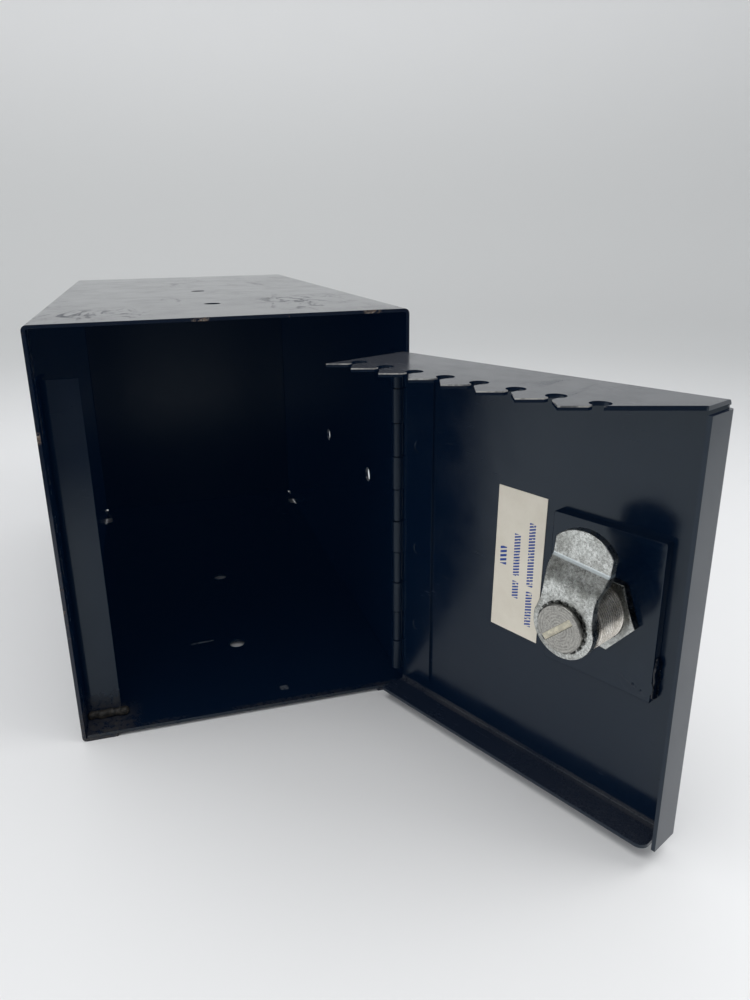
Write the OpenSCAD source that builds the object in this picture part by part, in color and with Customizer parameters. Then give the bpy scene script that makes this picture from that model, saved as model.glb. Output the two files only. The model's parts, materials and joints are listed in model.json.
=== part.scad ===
// Small steel enclosure with a side-hinged door, a slotted wire comb and a cam lock.
// The frame: +X right, +Y from the open front to the back, +Z up.
// The origin is midway between the two floor holes, on the underside of the floor sheet.
// The door stands open and the cam points up, as the box is shown at rest.

/* [Box] */
// Outer width of the box
box_w = 127; // [115:0.5:140]
// Outer depth of the box
box_d = 254; // [220:1:300]
// Outer height of the box
box_h = 152.4; // [150.5:0.1:165]
// Thickness of the box and door sheet
sheet_t = 1.2; // [1:0.1:1.4]
// Width of the flanges folded in under the box
base_flange_w = 12.7; // [9:0.1:16]
// Outer radius of the box folds
fold_r = 1.8; // [1.7:0.1:2.2]

/* [Holes] */
// Diameter of the mounting holes
hole_d = 6.4; // [5:0.1:8]
// Distance from the front edge to the first hole
hole_first = 50.8; // [40:0.1:60]
// Distance between the two holes of a row
hole_pitch = 73; // [60:0.5:80]
// Height of the side holes above the underside of the box
side_hole_h = 76.2; // [70:0.1:82]

/* [Hinge] */
// Distance of the hinge pin from the outer right side
pin_inset = 4.7; // [4.6:0.05:5]
// Distance of the hinge pin in front of the box edge
pin_lead = 0.8; // [0.7:0.05:1]
// Radius of the hinge pin
pin_r = 1.0; // [0.95:0.05:1.05]
// Outer radius of a knuckle
knuckle_r = 2.0; // [1.9:0.05:2.05]
// Distance between knuckles
knuckle_pitch = 12.7; // [12.6:0.1:12.8]
// Thickness of the hinge leaves
leaf_t = 1.0; // [0.9:0.05:1]
// Width of a hinge leaf from the pin axis
leaf_w = 16.7; // [15:0.1:20]
// Angle between the closed door and the door as shown
door_open = 115.4; // [60:0.1:117]

/* [Door] */
// Length of the door from the hinge pin to its latch side
door_reach = 116.3; // [114:0.1:117]
// Height of the door over its flanges
door_h = 133.6; // [132:0.1:134]
// Height of the door's lower edge above the underside of the box
door_base = 4.0; // [3.6:0.1:5]
// Depth of the latch and bottom flanges behind the pin axis
flange_reach = 8.85; // [7.5:0.05:9.5]
// Depth of the comb teeth behind the pin axis
comb_reach = 33.5; // [30:0.1:36]
// Number of wire slots in the comb
slot_count = 8; // [4:1:8]
// Distance between wire slots
slot_pitch = 12.7; // [12:0.1:13]
// Width of a wire slot's mouth
slot_w = 2.4; // [1.6:0.1:3.2]
// Radius of the round hole behind each mouth
slot_r = 2.8; // [2.2:0.1:3]
// Distance of the round holes' centres behind the pin axis
slot_centre = 23.9; // [20:0.1:25]
// Offset of each round hole from its mouth, towards the hinge
slot_lean = 0.7; // [0:0.1:1]
// Distance of the first slot's mouth from the pin axis
slot_first = 7.4; // [7:0.1:8]

/* [Lock] */
// Distance of the lock axis from the hinge pin
lock_reach = 87.6; // [86:0.1:89]
// Height of the lock axis above the underside of the box
lock_h = 72.05; // [70:0.05:75]
// Radius over the barrel's thread
barrel_r = 9.4; // [9.2:0.05:9.5]
// Pitch of the barrel's thread
thread_pitch = 0.94; // [0.8:0.02:1.2]
// Width across the flats of the nut
nut_af = 22.2; // [21:0.1:23]
// Thickness of the cam
cam_t = 2.8; // [2.4:0.1:3]
// Distance from the lock axis to the tip of the cam
cam_reach = 28.4; // [26:0.1:29]
// Offset of the cam's tip towards the door
cam_joggle = 3.9; // [3.4:0.1:4.1]
// Turn of the cam from straight up towards the latch side
cam_rest = 5.8; // [0:0.1:45]

/* [Plate and label] */
// Width of the square lock plate
plate_w = 36.4; // [34:0.1:38]
// Height of the square lock plate
plate_h = 50.1; // [46:0.1:52]
// Thickness of the lock plate
plate_t = 3.2; // [2.8:0.1:3.4]
// Width of the label
label_w = 18.9; // [15:0.1:20]
// Height of the label
label_h = 50.8; // [40:0.1:52]
// Distance of the label's centre from the hinge pin
label_reach = 55.1; // [50:0.1:58]
// Height of the label's centre above the underside of the box
label_centre = 73.5; // [60:0.1:80]

/* [Strike] */
// Distance of the strike angle's face behind the front edge
strike_set = 11.4; // [11:0.1:11.5]
// Width of each leg of the strike angle
strike_leg = 12.9; // [12:0.1:14]
// Height of the strike angle's top above the underside of the box
strike_top = 133.2; // [128:0.1:134]

/* [Hidden] */
$fn = 64;
eps = 0.01;

// Box planes
base_z = -sheet_t;
top_z = base_z + box_h;
front_y = -hole_first - hole_pitch / 2;
back_y = front_y + box_d;
side_x = box_w / 2;
inner_x = side_x - sheet_t;
floor_top = sheet_t;
fold_in = fold_r - sheet_t;
hole_y = [-hole_pitch / 2, hole_pitch / 2];
side_hole_z = base_z + side_hole_h;
// Relief openings through the floor's edges and the folds below them, near the back
relief_y = 147;
relief_l = 15;
relief_w = 4.5;
relief_r = 2.2;
relief_edge = 0.6;

// Hinge
pin_x = side_x - pin_inset;
pin_y = front_y - pin_lead;
hinge_z = base_z + 10.4;
hinge_top = base_z + 135.9;
knuckle_count = 10;
box_knuckle_r = 1.7;
knuckle_gap = 0.35;
run_fit = 0.05;
leaf_clear = knuckle_r + 0.55;
weld_dot_d = 4.4;
weld_dot_dip = 0.25;
weld_dot_a = 10.1;
weld_dot_z = [33, 64.9, 104.5];

// Door, in its own frame: the pin axis is the origin, -X runs to the latch side
// and +Y runs into the closed box
door_z0 = base_z + door_base;
door_z1 = door_z0 + door_h;
panel_in = -knuckle_r;
panel_out = panel_in - sheet_t;
door_heel = 1.2;
door_fold = 1.5;
latch_gap = 0.8;
lip_end = 3.4;
lip_corner = 3;
comb_left = slot_first - slot_pitch / 2;
comb_tip_last = slot_first + (slot_count - 0.5) * slot_pitch - slot_pitch;

// Lock, in a frame on its axis: +Y runs from the door towards the cam
plate_out = panel_in + plate_t;
nut_out = 4.2;
barrel_end = 16.3;
thread_end = 15.8;
thread_depth = 0.55;
cam_in = 17.8;
cam_out = cam_in + cam_t;
bezel_r = 12;
bezel_t = 2.6;
bezel_out = panel_out - bezel_t;
plug_r = 6.5;
plug_head_r = 7.9;
shoulder = 16.7;
ridge_in_r = 7.9;
tab_w = 5.2;
stop_play = 2.6;
nut_turn = -10;
tang_r = 4.8;
tang_flat = 7.4;
hub_r = 9.7;
cam_half = 9.05;
cam_tip_r = 11.3;
cam_waist = 8.2;
cam_bend_out = 18.7;
cam_bend_r = 12;
cam_slope = 34.4;
cam_bend_steps = 8;
cam_bend_start = cam_bend_out - slope_run(cam_bend_r);
screw_head_r = 7.15;
screw_head_t = 1.2;
screw_r = 2.4;
screw_slot_w = 1.9;
screw_slot_dip = 0.9;
screw_slot_deg = 43;
tooth_count = 18;
tooth_r = 7.8;
tooth_root_r = 6.9;
tooth_w = 1.3;
washer_t = 0.6;
label_tilt = 1.2;
plate_corner = 0.8;
wafer_count = 5;
wafer_pitch = 2.0;
wafer_first = -3.2;
wafer_t = 0.8;
wafer_w = 5.2;
wafer_slack = 0.1;

/* Shared shapes */

module rounded(w, h, r) {
    square([w - 2 * r, h], center = true);
    square([w, h - 2 * r], center = true);
    for (sx = [-1, 1], sy = [-1, 1])
        translate([sx * (w / 2 - r), sy * (h / 2 - r)])
            circle(r);
}

// Quarter ring of a sheet fold; its centre is the origin and it fills the +X +Y quarter
module fold_2d(r, t) {
    intersection() {
        difference() {
            circle(r);
            circle(r - t);
        }
        square(r + 1);
    }
}

// Places children on the hinge pin, with the door open
module on_hinge() {
    translate([pin_x, pin_y, 0])
        rotate([0, 0, door_open])
            children();
}

// Places children on the lock axis of the open door
module on_lock() {
    on_hinge()
        translate([-lock_reach, 0, base_z + lock_h])
            children();
}

// Places children on the turning part of the lock
module on_rotor() {
    on_lock()
        rotate([0, -cam_rest, 0])
            children();
}

// Round bar along the lock axis from y0 to y1
module lock_bar(r, y0, y1) {
    translate([0, y1, 0])
        rotate([90, 0, 0])
            cylinder(r = r, h = y1 - y0);
}

// Flat outline in the XZ plane of the lock, from y0 to y1
module lock_slab(y0, y1) {
    translate([0, y1, 0])
        rotate([90, 0, 0])
            linear_extrude(y1 - y0)
                children();
}

/* Box */

module wrap_2d() {
    difference() {
        translate([0, box_h / 2])
            rounded(box_w, box_h, fold_r);
        translate([0, box_h / 2])
            rounded(box_w - 2 * sheet_t, box_h - 2 * sheet_t, fold_in);
        translate([-side_x + base_flange_w, -1])
            square([box_w - 2 * base_flange_w, sheet_t + 1 + eps]);
    }
}

// One sheet: top, two sides and the two flanges folded under
module body_wrap() {
    color([0.045, 0.05, 0.07])
        difference() {
            translate([0, back_y, base_z])
                rotate([90, 0, 0])
                    linear_extrude(box_d)
                        wrap_2d();
            for (y = hole_y) {
                translate([0, y, top_z - sheet_t - 1])
                    cylinder(d = hole_d, h = sheet_t + 2);
                translate([-side_x - 1, y, side_hole_z])
                    rotate([0, 90, 0])
                        cylinder(d = hole_d, h = sheet_t + 2);
                translate([inner_x - 1, y, side_hole_z])
                    rotate([0, 90, 0])
                        cylinder(d = hole_d, h = sheet_t + 2);
            }
            relief_openings();
        }
}

// One opening at each side, through the floor's edge and the fold under it
module relief_openings() {
    for (s = [-1, 1])
        translate([s * (side_x - relief_edge - relief_w / 2), relief_y, base_z - eps])
            linear_extrude(2 * sheet_t + 2 * eps)
                rounded(relief_w, relief_l, relief_r);
}

// Sheet that lies on the folded flanges
module floor_panel() {
    half = inner_x - fold_in;
    color([0.05, 0.055, 0.075])
        difference() {
            translate([-half, front_y, 0])
                cube([2 * half, box_d, sheet_t]);
            for (y = hole_y)
                translate([0, y, -1])
                    cylinder(d = hole_d, h = sheet_t + 2);
            relief_openings();
        }
}

// Flat sheet that closes the back
module back_panel() {
    w = box_w - 2 * sheet_t;
    h = box_h - 3 * sheet_t;
    color([0.05, 0.055, 0.075])
        translate([0, back_y, floor_top + h / 2])
            rotate([90, 0, 0])
                linear_extrude(sheet_t) {
                    rounded(w, h, fold_in);
                    translate([-w / 2, -h / 2])
                        square([w, h / 2]);
                }
}

module strike_2d() {
    r = 2.6;
    translate([r, r])
        rotate(180)
            fold_2d(r, sheet_t);
    translate([r - eps, 0])
        square([strike_leg - r + eps, sheet_t]);
    translate([0, r - eps])
        square([sheet_t, strike_leg - r + eps]);
}

// Angle inside the left side that the cam closes behind
module strike_angle() {
    foot = floor_top + 2.2;
    color([0.07, 0.075, 0.09])
        translate([-inner_x, front_y + strike_set, foot])
            linear_extrude(base_z + strike_top - foot)
                strike_2d();
}

// Uneven bead that joins the foot of the strike angle to the floor
module strike_weld() {
    bead_r = 1.9;
    step = 1.5;
    color([0.12, 0.11, 0.1])
        difference() {
            for (i = [0:8])
                translate([
                    -inner_x + bead_r + 0.1 + i * step,
                    front_y + strike_set - 0.5 + 0.25 * sin(i * 130),
                    floor_top + 1.15 + 0.2 * sin(i * 97)
                ])
                    sphere(bead_r, $fn = 24);
            translate([-side_x, front_y, floor_top - 10])
                cube([40, 40, 10]);
            strike_angle();
        }
}

/* Hinge */

function knuckle_z(i) = hinge_z + i * knuckle_pitch + knuckle_gap / 2;
function knuckle_top(i) = min(hinge_z + (i + 1) * knuckle_pitch - knuckle_gap / 2, hinge_top);

module knuckle(i, outer_r, bore_r) {
    translate([0, 0, knuckle_z(i)])
        difference() {
            cylinder(r = outer_r, h = knuckle_top(i) - knuckle_z(i));
            translate([0, 0, -1])
                cylinder(r = bore_r, h = knuckle_pitch + 2);
        }
}

// Joggled strip from a knuckle to the wall leaf, around the pin axis
module box_leaf_joggle_2d(wall) {
    polygon([
        [0, 0.6], [box_knuckle_r - leaf_t, 0.6], [wall - leaf_t, leaf_clear],
        [wall - leaf_t, leaf_clear + 1], [wall, leaf_clear + 1],
        [wall, leaf_clear - 0.4], [box_knuckle_r, 0], [box_knuckle_r - leaf_t, 0]
    ]);
}

// Leaf welded to the right side, with every second knuckle
module hinge_leaf_box() {
    wall = inner_x - pin_x;
    color([0.09, 0.095, 0.12])
        translate([pin_x, pin_y, 0]) {
            translate([wall - leaf_t, leaf_clear, hinge_z])
                cube([leaf_t, leaf_w - leaf_clear, hinge_top - hinge_z]);
            for (i = [1:2:knuckle_count - 1]) {
                knuckle(i, box_knuckle_r, pin_r);
                difference() {
                    translate([0, 0, knuckle_z(i)])
                        linear_extrude(knuckle_top(i) - knuckle_z(i))
                            box_leaf_joggle_2d(wall);
                    translate([0, 0, hinge_z])
                        cylinder(r = box_knuckle_r - eps, h = hinge_top);
                }
            }
        }
}

// Pin through all the knuckles
module hinge_pin() {
    color([0.16, 0.16, 0.18])
        translate([pin_x, pin_y, hinge_z + knuckle_gap / 2])
            cylinder(r = pin_r, h = hinge_top - hinge_z - knuckle_gap / 2);
}

// Leaf welded to the inside of the door, with the other knuckles
module hinge_leaf_door() {
    color([0.06, 0.065, 0.085])
        on_hinge()
            difference() {
                union() {
                    translate([-leaf_w, panel_in, hinge_z])
                        cube([leaf_w - leaf_clear, leaf_t, hinge_top - hinge_z]);
                    for (i = [0:2:knuckle_count - 1]) {
                        knuckle(i, knuckle_r, pin_r + run_fit);
                        translate([-leaf_clear - 1, panel_in, knuckle_z(i)])
                            cube([leaf_clear + 1, leaf_t - run_fit, knuckle_top(i) - knuckle_z(i)]);
                    }
                }
                for (z = weld_dot_z)
                    translate([-weld_dot_a, panel_in + leaf_t - weld_dot_dip, base_z + z])
                        rotate([-90, 0, 0])
                            cylinder(d = weld_dot_d, h = 1);
            }
}

/* Door */

// Outline of the top flange: teeth with 45 degree sides, then a 45 degree run to the latch side
module comb_2d() {
    valley = comb_reach - slot_pitch / 2;
    teeth = [
        for (i = [0:slot_count - 1])
            each [
                [-(comb_left + i * slot_pitch), comb_reach],
                [-(slot_first + i * slot_pitch), valley]
            ]
    ];
    last = slot_first + (slot_count - 1) * slot_pitch;
    end_run = comb_reach + comb_tip_last - flange_reach;
    difference() {
        polygon(concat(
            [[-door_heel, panel_out + door_fold], [-door_heel, comb_reach - (door_heel - comb_left)]],
            [for (i = [1:len(teeth) - 1]) teeth[i]],
            [[-last - 0.5 * slot_w, comb_reach - (last + 0.5 * slot_w - comb_tip_last)]],
            [[-end_run, flange_reach], [-door_reach + sheet_t, flange_reach]],
            [[-door_reach + sheet_t, panel_out + door_fold]]
        ));
        for (i = [0:slot_count - 1])
            translate([-(slot_first + i * slot_pitch), slot_centre]) {
                translate([slot_lean, 0])
                    circle(slot_r);
                translate([-slot_w / 2, 0])
                    square([slot_w, comb_reach]);
            }
    }
}

// Fold between the panel and the top flange (up = 1) or the bottom flange (up = 0);
// it runs from the heel to a distance from the pin
module level_fold(z, up, reach) {
    translate([-reach, panel_out + door_fold, z])
        rotate([90, 0, 90])
            linear_extrude(reach - door_heel)
                mirror([0, 1 - up])
                    rotate(90)
                        fold_2d(door_fold, sheet_t);
}

// Outline of the bottom flange, rounded at its free corner on the latch side
module lip_2d() {
    left = -door_reach + lip_end;
    root = panel_out + door_fold - eps;
    translate([left, root])
        square([door_reach - lip_end - door_heel, flange_reach - lip_corner - root]);
    translate([left + lip_corner, flange_reach - lip_corner - eps])
        square([door_reach - lip_end - door_heel - lip_corner, lip_corner + eps]);
    translate([left + lip_corner, flange_reach - lip_corner])
        circle(lip_corner);
}

// One sheet: panel, comb flange, bottom flange and latch flange
module door_panel() {
    flat_h = door_h - 2 * door_fold;
    latch_h = flat_h - 2 * latch_gap;
    latch_z = door_z0 + door_fold + latch_gap;
    color([0.045, 0.05, 0.07])
        on_hinge()
            difference() {
                union() {
                    translate([-door_reach + door_fold, panel_out, door_z0 + door_fold - eps])
                        cube([door_reach - door_fold - door_heel, sheet_t, flat_h + 2 * eps]);
                    translate([0, 0, door_z1 - sheet_t])
                        linear_extrude(sheet_t)
                            comb_2d();
                    level_fold(door_z1 - door_fold, 1, door_reach - sheet_t);
                    level_fold(door_z0 + door_fold, 0, door_reach - lip_end);
                    translate([0, 0, door_z0])
                        linear_extrude(sheet_t)
                            lip_2d();
                    translate([-door_reach + door_fold, panel_out + door_fold, latch_z])
                        linear_extrude(latch_h) {
                            rotate(180)
                                fold_2d(door_fold, sheet_t);
                            translate([-door_fold, -eps])
                                square([sheet_t, flange_reach - panel_out - door_fold + eps]);
                            translate([-eps, -door_fold])
                                square([2 * eps, sheet_t]);
                        }
                }
                translate([-lock_reach, 0, base_z + lock_h])
                    lock_bar(barrel_r + run_fit, panel_out - 1, panel_in + 1);
            }
}

// Plain paper label, stuck a little askew
module label() {
    thick = 0.2;
    color([0.9, 0.88, 0.82])
        on_hinge()
            translate([-label_reach, panel_in + thick, base_z + label_centre])
                rotate([0, -label_tilt, 0])
                    rotate([90, 0, 0])
                        linear_extrude(thick)
                            square([label_w, label_h], center = true);
}

/* Lock */

module lock_plate() {
    color([0.05, 0.055, 0.075])
        on_lock()
            difference() {
                lock_slab(panel_in, plate_out)
                    rounded(plate_w, plate_h, plate_corner);
                lock_bar(barrel_r + run_fit, panel_in - 1, plate_out + 1);
            }
}

// Bead at the plate's lower latch-side corner
module lock_plate_weld() {
    bead_r = 1.9;
    step = 1.3;
    color([0.08, 0.08, 0.09])
        on_lock()
            difference() {
                for (i = [0:8])
                    translate([
                        -plate_w / 2 + 0.2 - 0.15 * sin(i * 110),
                        panel_in + 1.1 + 0.2 * sin(i * 75),
                        -plate_h / 2 + 2.5 + i * step
                    ])
                        sphere(bead_r, $fn = 24);
                translate([-plate_w, panel_in - 10, -plate_h])
                    cube([2 * plate_w, 10, 2 * plate_h]);
                lock_slab(panel_in - 1, plate_out + eps)
                    rounded(plate_w, plate_h, plate_corner);
            }
}

// Radial outline of the barrel: bezel, plain neck and thread rings
module barrel_half_2d() {
    turns = floor((thread_end - plate_out) / thread_pitch);
    root_r = barrel_r - thread_depth;
    rings = [
        for (i = [0:turns - 1])
            each [
                [root_r, plate_out + (i + 0.1) * thread_pitch],
                [barrel_r, plate_out + (i + 0.45) * thread_pitch],
                [barrel_r, plate_out + (i + 0.65) * thread_pitch]
            ]
    ];
    polygon(concat(
        [[0, bezel_out], [bezel_r - 0.8, bezel_out], [bezel_r, bezel_out + 0.8], [bezel_r, panel_out]],
        [[barrel_r, panel_out], [barrel_r, plate_out]],
        rings,
        [[root_r, thread_end], [root_r, barrel_end], [0, barrel_end]]
    ));
}

// Threaded housing with the outside bezel and the stop ridge on its inner end
module lock_barrel() {
    color([0.72, 0.68, 0.62])
        on_lock()
            difference() {
                union() {
                    rotate([-90, 0, 0])
                        rotate_extrude($fn = 96)
                            barrel_half_2d();
                    stop_ridge();
                }
                lock_bar(plug_r, bezel_out - 1, barrel_end + 2);
                lock_bar(plug_head_r + run_fit, bezel_out - 1, bezel_out + 1.4);
                lock_slab(bezel_out + 1.4, wafer_first + wafer_count * wafer_pitch + 0.6)
                    square([wafer_w + 0.4, 2 * plug_r + 1.6], center = true);
            }
}

// Part of a ring; the stop washer's tab swings a quarter turn in its gap
module stop_ridge() {
    tab_half = asin(tab_w / 2 / ridge_in_r) + stop_play;
    reach = 3 * barrel_r;
    difference() {
        lock_bar(barrel_r - thread_depth, barrel_end - eps, shoulder + 0.6);
        lock_bar(ridge_in_r, barrel_end - 1, shoulder + 2);
        lock_slab(barrel_end, shoulder + 2)
            polygon([
                [0, 0],
                for (a = [-tab_half, 30, 60, 90 + tab_half])
                    [-reach * sin(a), reach * cos(a)]
            ]);
    }
}

module lock_nut() {
    color([0.62, 0.64, 0.66])
        on_lock()
            rotate([0, nut_turn, 0])
                difference() {
                    intersection() {
                        lock_slab(plate_out, nut_out)
                            circle(nut_af / sqrt(3), $fn = 6);
                        rotate([-90, 0, 0])
                            rotate_extrude($fn = 96)
                                polygon([
                                    [0, plate_out], [nut_af / sqrt(3), plate_out],
                                    [nut_af / sqrt(3), nut_out - 0.6],
                                    [nut_af / 2 - 0.1, nut_out], [0, nut_out]
                                ]);
                    }
                    lock_bar(barrel_r + run_fit, plate_out - 1, nut_out + 1);
                }
}

module tang_2d(slack) {
    intersection() {
        circle(tang_r + slack);
        square([tang_flat + 2 * slack, 4 * tang_r], center = true);
    }
}

// Start of a wafer's slot along the lock axis
function wafer_y(i) = wafer_first + i * wafer_pitch;

// Turning core with its keyway, wafer slots and the tang that drives the cam
module lock_plug() {
    keyway_w = 1.6;
    keyway_h = 7.6;
    color([0.75, 0.66, 0.42])
        on_rotor()
            difference() {
                union() {
                    lock_bar(plug_r - run_fit, bezel_out + 0.3, shoulder);
                    lock_bar(plug_head_r - run_fit, bezel_out + 0.3, bezel_out + 1.1);
                    lock_slab(shoulder - eps, cam_out - 0.2)
                        tang_2d(0);
                }
                lock_bar(screw_r, 6.8, cam_out + 1);
                translate([-keyway_w / 2, bezel_out - 1, -keyway_h / 2])
                    cube([keyway_w, 7, keyway_h]);
                for (i = [0:wafer_count - 1])
                    lock_slab(wafer_y(i), wafer_y(i) + wafer_t + wafer_slack)
                        square([wafer_w, 3 * plug_r], center = true);
            }
}

// Flat tumblers, each with its key window, drawn clear of the barrel
module lock_wafers() {
    color([0.78, 0.7, 0.45])
        on_rotor()
            for (i = [0:wafer_count - 1])
                lock_slab(wafer_y(i) + wafer_slack / 2, wafer_y(i) + wafer_t + wafer_slack / 2)
                    difference() {
                        intersection() {
                            circle(plug_r - 0.25);
                            square([wafer_w - 0.2, 3 * plug_r], center = true);
                        }
                        translate([0, 0.4 * sin(i * 140)])
                            square([1.7, 6], center = true);
                        translate([wafer_w / 2, 1.4])
                            square([2.2, 4.2], center = true);
                    }
}

// One small coil spring beside each wafer
module wafer_springs() {
    color([0.7, 0.7, 0.72])
        on_rotor()
            for (i = [0:wafer_count - 1])
                translate([wafer_w / 2 - 0.5, wafer_y(i) + (wafer_t + wafer_slack) / 2, -0.4])
                    linear_extrude(3.6, twist = -360 * 4, slices = 28, $fn = 6)
                        translate([0.22, 0])
                            circle(0.12, $fn = 5);
}

// Washer keyed to the plug; its tab meets the stop ridge at each end of the turn
module stop_washer() {
    color([0.5, 0.5, 0.52])
        on_rotor()
            lock_slab(shoulder, cam_in)
                difference() {
                    union() {
                        circle(ridge_in_r - 0.4);
                        intersection() {
                            circle(barrel_r - 0.7);
                            translate([-tab_w / 2, 0])
                                square([tab_w, 12]);
                        }
                    }
                    tang_2d(run_fit);
                }
}

// Outline of the cam seen along the lock axis
module cam_2d() {
    tip_c = cam_reach - cam_tip_r;
    difference() {
        union() {
            circle(hub_r);
            translate([-cam_half, 0])
                square([2 * cam_half, tip_c + 1]);
            intersection() {
                translate([0, tip_c])
                    circle(cam_tip_r);
                translate([-cam_half, tip_c])
                    square([2 * cam_half, cam_tip_r + 1]);
            }
        }
        for (s = [-1, 1])
            translate([s * (cam_waist + 24), 9.5])
                circle(24, $fn = 128);
        tang_2d(run_fit);
    }
}

// Length of the wide bend and the slope after it, along the arm, for a surface bent to radius r
function slope_run(r) =
    r * sin(cam_slope) + (cam_joggle - r * (1 - cos(cam_slope))) / tan(cam_slope);

// One surface of the joggled arm, from the wide bend at height y to the sharp bend at the tip
function arm_surface(r, y) = concat(
    [
        for (i = [0:cam_bend_steps])
            let (a = cam_slope * i / cam_bend_steps)
                [cam_bend_start + r * sin(a), y - r * (1 - cos(a))]
    ],
    [[cam_bend_start + slope_run(r), y - cam_joggle]]
);

// Side view of the joggled strip: hub, wide bend, slope and tip
module cam_side_2d() {
    near_end = -20;
    far_end = 40;
    outer = arm_surface(cam_bend_r, cam_out);
    polygon(concat(
        [[near_end, cam_in]],
        arm_surface(cam_bend_r - cam_t, cam_in),
        [[far_end, cam_in - cam_joggle], [far_end, cam_out - cam_joggle]],
        [for (i = [len(outer) - 1:-1:0]) outer[i]],
        [[near_end, cam_out]]
    ));
}

// Bent arm that swings behind the strike angle
module lock_cam() {
    color([0.74, 0.76, 0.77])
        on_rotor()
            intersection() {
                lock_slab(cam_in - cam_joggle - 1, cam_out + 1)
                    cam_2d();
                translate([30, 0, 0])
                    rotate([0, -90, 0])
                        linear_extrude(60)
                            cam_side_2d();
            }
}

// Toothed washer under the screw's head
module cam_lock_washer() {
    color([0.12, 0.12, 0.13])
        on_rotor()
            lock_slab(cam_out, cam_out + washer_t)
                difference() {
                    union() {
                        circle(tooth_root_r);
                        for (i = [0:tooth_count - 1])
                            rotate(i * 360 / tooth_count)
                                translate([-tooth_w / 2, 0])
                                    square([tooth_w, tooth_r]);
                    }
                    circle(screw_r + 0.2);
                }
}

// Wide slotted screw that holds the cam on the plug
module cam_screw() {
    head_in = cam_out + washer_t;
    head_out = head_in + screw_head_t;
    color([0.66, 0.66, 0.64])
        on_rotor()
            difference() {
                union() {
                    rotate([-90, 0, 0])
                        rotate_extrude($fn = 96)
                            polygon([
                                [0, head_in], [screw_head_r, head_in],
                                [screw_head_r, head_out - 0.3],
                                [screw_head_r - 0.3, head_out], [0, head_out]
                            ]);
                    lock_bar(screw_r, 8, head_in + eps);
                }
                rotate([0, cam_rest + screw_slot_deg, 0])
                    translate([-screw_head_r + 2, head_out - screw_slot_dip, -screw_slot_w / 2])
                        cube([2 * screw_head_r, 2, screw_slot_w]);
            }
}

body_wrap();
floor_panel();
back_panel();
strike_angle();
strike_weld();
hinge_leaf_box();
hinge_pin();
door_panel();
hinge_leaf_door();
label();
lock_plate();
lock_plate_weld();
lock_barrel();
lock_nut();
lock_plug();
lock_wafers();
wafer_springs();
stop_washer();
lock_cam();
cam_lock_washer();
cam_screw();
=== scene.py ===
import json
import math

import bmesh
import bpy
from mathutils import Matrix, Vector, noise


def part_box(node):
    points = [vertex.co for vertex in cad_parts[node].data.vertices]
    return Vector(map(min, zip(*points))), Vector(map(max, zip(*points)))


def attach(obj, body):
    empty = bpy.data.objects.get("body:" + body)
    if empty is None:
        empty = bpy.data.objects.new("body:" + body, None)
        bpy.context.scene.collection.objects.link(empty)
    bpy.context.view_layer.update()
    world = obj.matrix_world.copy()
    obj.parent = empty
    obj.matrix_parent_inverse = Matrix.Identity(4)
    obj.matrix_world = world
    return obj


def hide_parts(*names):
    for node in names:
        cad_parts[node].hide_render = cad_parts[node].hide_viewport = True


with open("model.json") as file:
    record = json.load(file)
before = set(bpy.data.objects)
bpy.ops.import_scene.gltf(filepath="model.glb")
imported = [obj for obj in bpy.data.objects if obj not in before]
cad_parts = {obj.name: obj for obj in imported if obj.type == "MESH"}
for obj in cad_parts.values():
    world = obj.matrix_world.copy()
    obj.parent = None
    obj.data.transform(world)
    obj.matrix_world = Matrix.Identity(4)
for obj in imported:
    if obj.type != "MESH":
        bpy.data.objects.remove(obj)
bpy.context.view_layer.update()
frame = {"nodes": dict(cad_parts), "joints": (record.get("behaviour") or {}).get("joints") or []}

MM = 0.001

# The door's own directions, from the joints: "along" runs from the hinge to the latch
# side, "inward" from the door's sheet into the closed box.
joints = {j["name"]: j for j in frame["joints"]}
PIN = Vector(joints["door_hinge"]["pos_m"])
LOCK = Vector(joints["lock_turn"]["pos_m"])
INWARD = -Vector(joints["lock_turn"]["axis"]).normalized()
ALONG = INWARD.cross(Vector((0, 0, 1)))
if ALONG.dot(LOCK - PIN) < 0:
    ALONG = -ALONG
DOOR_TURN = math.atan2(-INWARD.x, INWARD.y)
LOCK_ALONG = ALONG.dot(LOCK - PIN)

CASE_LOW, CASE_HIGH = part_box("body_wrap")
DOOR_LOW, DOOR_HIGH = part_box("door_panel")
FRONT = CASE_LOW.y
TOP = CASE_HIGH.z
LABEL_LOW, LABEL_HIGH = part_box("label")
LABEL_Z = (LABEL_LOW.z + LABEL_HIGH.z) / 2
PLATE_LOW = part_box("lock_plate")[0]

# Measures on the lock: the screw's face inward from the pin, the cam's lean from upright
# at rest, and the distance from the lock's axis to the cam's sharp bend
SCREW_FACE = 22.4 * MM
CAM_LEAN = math.radians(5.8)
CAM_BEND = 18.6 * MM
THREAD_CREST = 9.3 * MM
THREAD_ROOT = 8.95 * MM


def at_door(along, inward, z):
    """The point of the row frame at that place on the door as it stands at rest."""
    p = PIN + ALONG * along + INWARD * inward
    return Vector((p.x, p.y, z))


# ---------------------------------------------------------------- materials

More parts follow.
